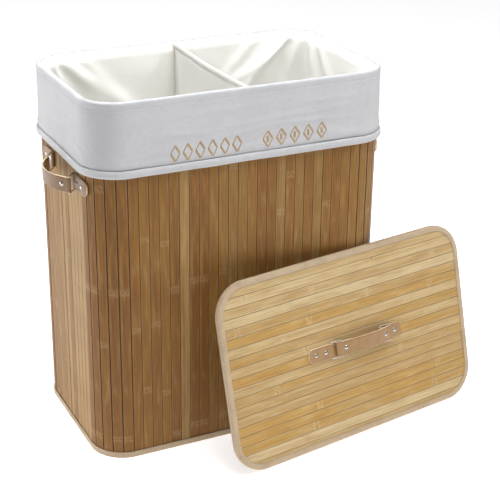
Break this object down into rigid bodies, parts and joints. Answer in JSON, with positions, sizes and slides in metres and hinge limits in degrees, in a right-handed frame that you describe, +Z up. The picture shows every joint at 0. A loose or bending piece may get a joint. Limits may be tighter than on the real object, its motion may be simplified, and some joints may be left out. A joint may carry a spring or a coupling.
{
  "type": "laundry hamper with lid",
  "caption": "Rounded rectangular bamboo slat hamper with a fold-over divided cotton liner, leather strap handles and a separate slatted lid leaning on its front.",
  "frame": {"origin": "on the floor, at the middle of the hamper's footprint (underside of the base cloth)", "axes": "+Z up, +X to the right along the width, -Y towards the front, where the lid leans"},
  "size_m": [0.7363, 0.4461, 0.62],
  "materials": {
    "bamboo": "smoked bamboo, satin lacquer",
    "lid_bamboo": "pale bamboo, satin lacquer",
    "backing_cloth": "plain woven cloth",
    "binding_tape": "herringbone tape",
    "board": "hardboard",
    "rivet_steel": "polished nickel plate",
    "wire_steel": "nickel-plated wire",
    "leather": "smooth tan leather with raw pale edges",
    "cotton": "white plain-weave cotton"
  },
  "bodies": {
    "hamper": {"front_slats": "bamboo", "back_slats": "bamboo", "left_slats": "bamboo", "right_slats": "bamboo", "front_left_corner_slats": "bamboo", "front_right_corner_slats": "bamboo", "back_left_corner_slats": "bamboo", "back_right_corner_slats": "bamboo", "mat_backing": "backing_cloth", "top_binding": "binding_tape", "bottom_binding": "binding_tape", "top_hoop": "wire_steel", "bottom_hoop": "wire_steel", "base_cloth": "backing_cloth", "base_board": "board", "left_front_tab": "leather", "left_back_tab": "leather", "right_front_tab": "leather", "right_back_tab": "leather", "side_tab_rivets": "rivet_steel", "side_rivet_caps": "rivet_steel"},
    "left_front_ring": {"left_front_ring": "wire_steel"},
    "left_back_ring": {"left_back_ring": "wire_steel"},
    "left_strap": {"left_strap": "leather", "left_strap_rivets": "rivet_steel"},
    "right_front_ring": {"right_front_ring": "wire_steel"},
    "right_back_ring": {"right_back_ring": "wire_steel"},
    "right_strap": {"right_strap": "leather", "right_strap_rivets": "rivet_steel"},
    "liner": {"liner_front": "cotton", "liner_back": "cotton", "liner_left": "cotton", "liner_right": "cotton", "liner_floor": "cotton", "liner_divider": "cotton", "cuff_front": "cotton", "cuff_back": "cotton", "cuff_left": "cotton", "cuff_right": "cotton", "liner_rim": "cotton", "cuff_hem": "cotton"},
    "lid": {"lid_slats": "lid_bamboo", "lid_backing": "backing_cloth", "lid_board": "board", "lid_edge_wire": "wire_steel", "lid_underside": "backing_cloth", "lid_binding": "binding_tape", "lid_left_tab": "leather", "lid_right_tab": "leather", "lid_tab_rivets": "rivet_steel", "lid_rivet_caps": "rivet_steel"},
    "lid_left_ring": {"lid_left_ring": "wire_steel"},
    "lid_right_ring": {"lid_right_ring": "wire_steel"},
    "lid_strap": {"lid_strap": "leather", "lid_strap_rivets": "rivet_steel"}
  },
  "joints": [
    {"name": "liner_lift", "type": "slide", "parent": "hamper", "child": "liner", "axis": [0, 0, 1], "range_m": [0, 0.63]},
    {"name": "lid_lift", "type": "slide", "parent": "hamper", "child": "lid", "axis": [0.13, -0.7549, 0.6428], "range_m": [0, 0.45]},
    {"name": "left_handle_swing", "type": "hinge", "parent": "hamper", "child": "left_front_ring", "pos_m": [-0.2634, -0.0705, 0.475], "axis": [0, 0, -1], "range_deg": [-30, 116]},
    {"name": "left_back_ring_swing", "type": "hinge", "parent": "hamper", "child": "left_back_ring", "pos_m": [-0.2634, 0.0365, 0.475], "axis": [0, 0, -1], "range_deg": [-30.1, 116.1]},
    {"name": "left_strap_swing", "type": "hinge", "parent": "left_front_ring", "child": "left_strap", "pos_m": [-0.27678, -0.08536, 0.475], "axis": [0, 0, -1], "range_deg": [-116.1, 30.1]},
    {"name": "right_handle_swing", "type": "hinge", "parent": "hamper", "child": "right_front_ring", "pos_m": [0.2634, -0.0705, 0.475], "axis": [0, 0, 1], "range_deg": [-30, 116]},
    {"name": "right_back_ring_swing", "type": "hinge", "parent": "hamper", "child": "right_back_ring", "pos_m": [0.2634, 0.0365, 0.475], "axis": [0, 0, 1], "range_deg": [-30.1, 116.1]},
    {"name": "right_strap_swing", "type": "hinge", "parent": "right_front_ring", "child": "right_strap", "pos_m": [0.27678, -0.08536, 0.475], "axis": [0, 0, 1], "range_deg": [-116.1, 30.1]},
    {"name": "lid_handle_swing", "type": "hinge", "parent": "lid", "child": "lid_right_ring", "pos_m": [0.23569, -0.20288, 0.15909], "axis": [0.0416, -0.2417, -0.9694], "range_deg": [0, 150]},
    {"name": "lid_left_ring_swing", "type": "hinge", "parent": "lid", "child": "lid_left_ring", "pos_m": [0.13024, -0.22104, 0.15909], "axis": [0.0416, -0.2417, -0.9694], "range_deg": [-0.1, 150.1]},
    {"name": "lid_strap_swing", "type": "hinge", "parent": "lid_right_ring", "child": "lid_strap", "pos_m": [0.25565, -0.20354, 0.16011], "axis": [0.0416, -0.2417, -0.9694], "range_deg": [-150.1, 0.1]}
  ],
  "couplings": [
    {"joint": "left_back_ring_swing", "follows": "left_handle_swing", "ratio": 1},
    {"joint": "left_strap_swing", "follows": "left_handle_swing", "ratio": -1},
    {"joint": "right_back_ring_swing", "follows": "right_handle_swing", "ratio": 1},
    {"joint": "right_strap_swing", "follows": "right_handle_swing", "ratio": -1},
    {"joint": "lid_left_ring_swing", "follows": "lid_handle_swing", "ratio": 1},
    {"joint": "lid_strap_swing", "follows": "lid_handle_swing", "ratio": -1}
  ]
}
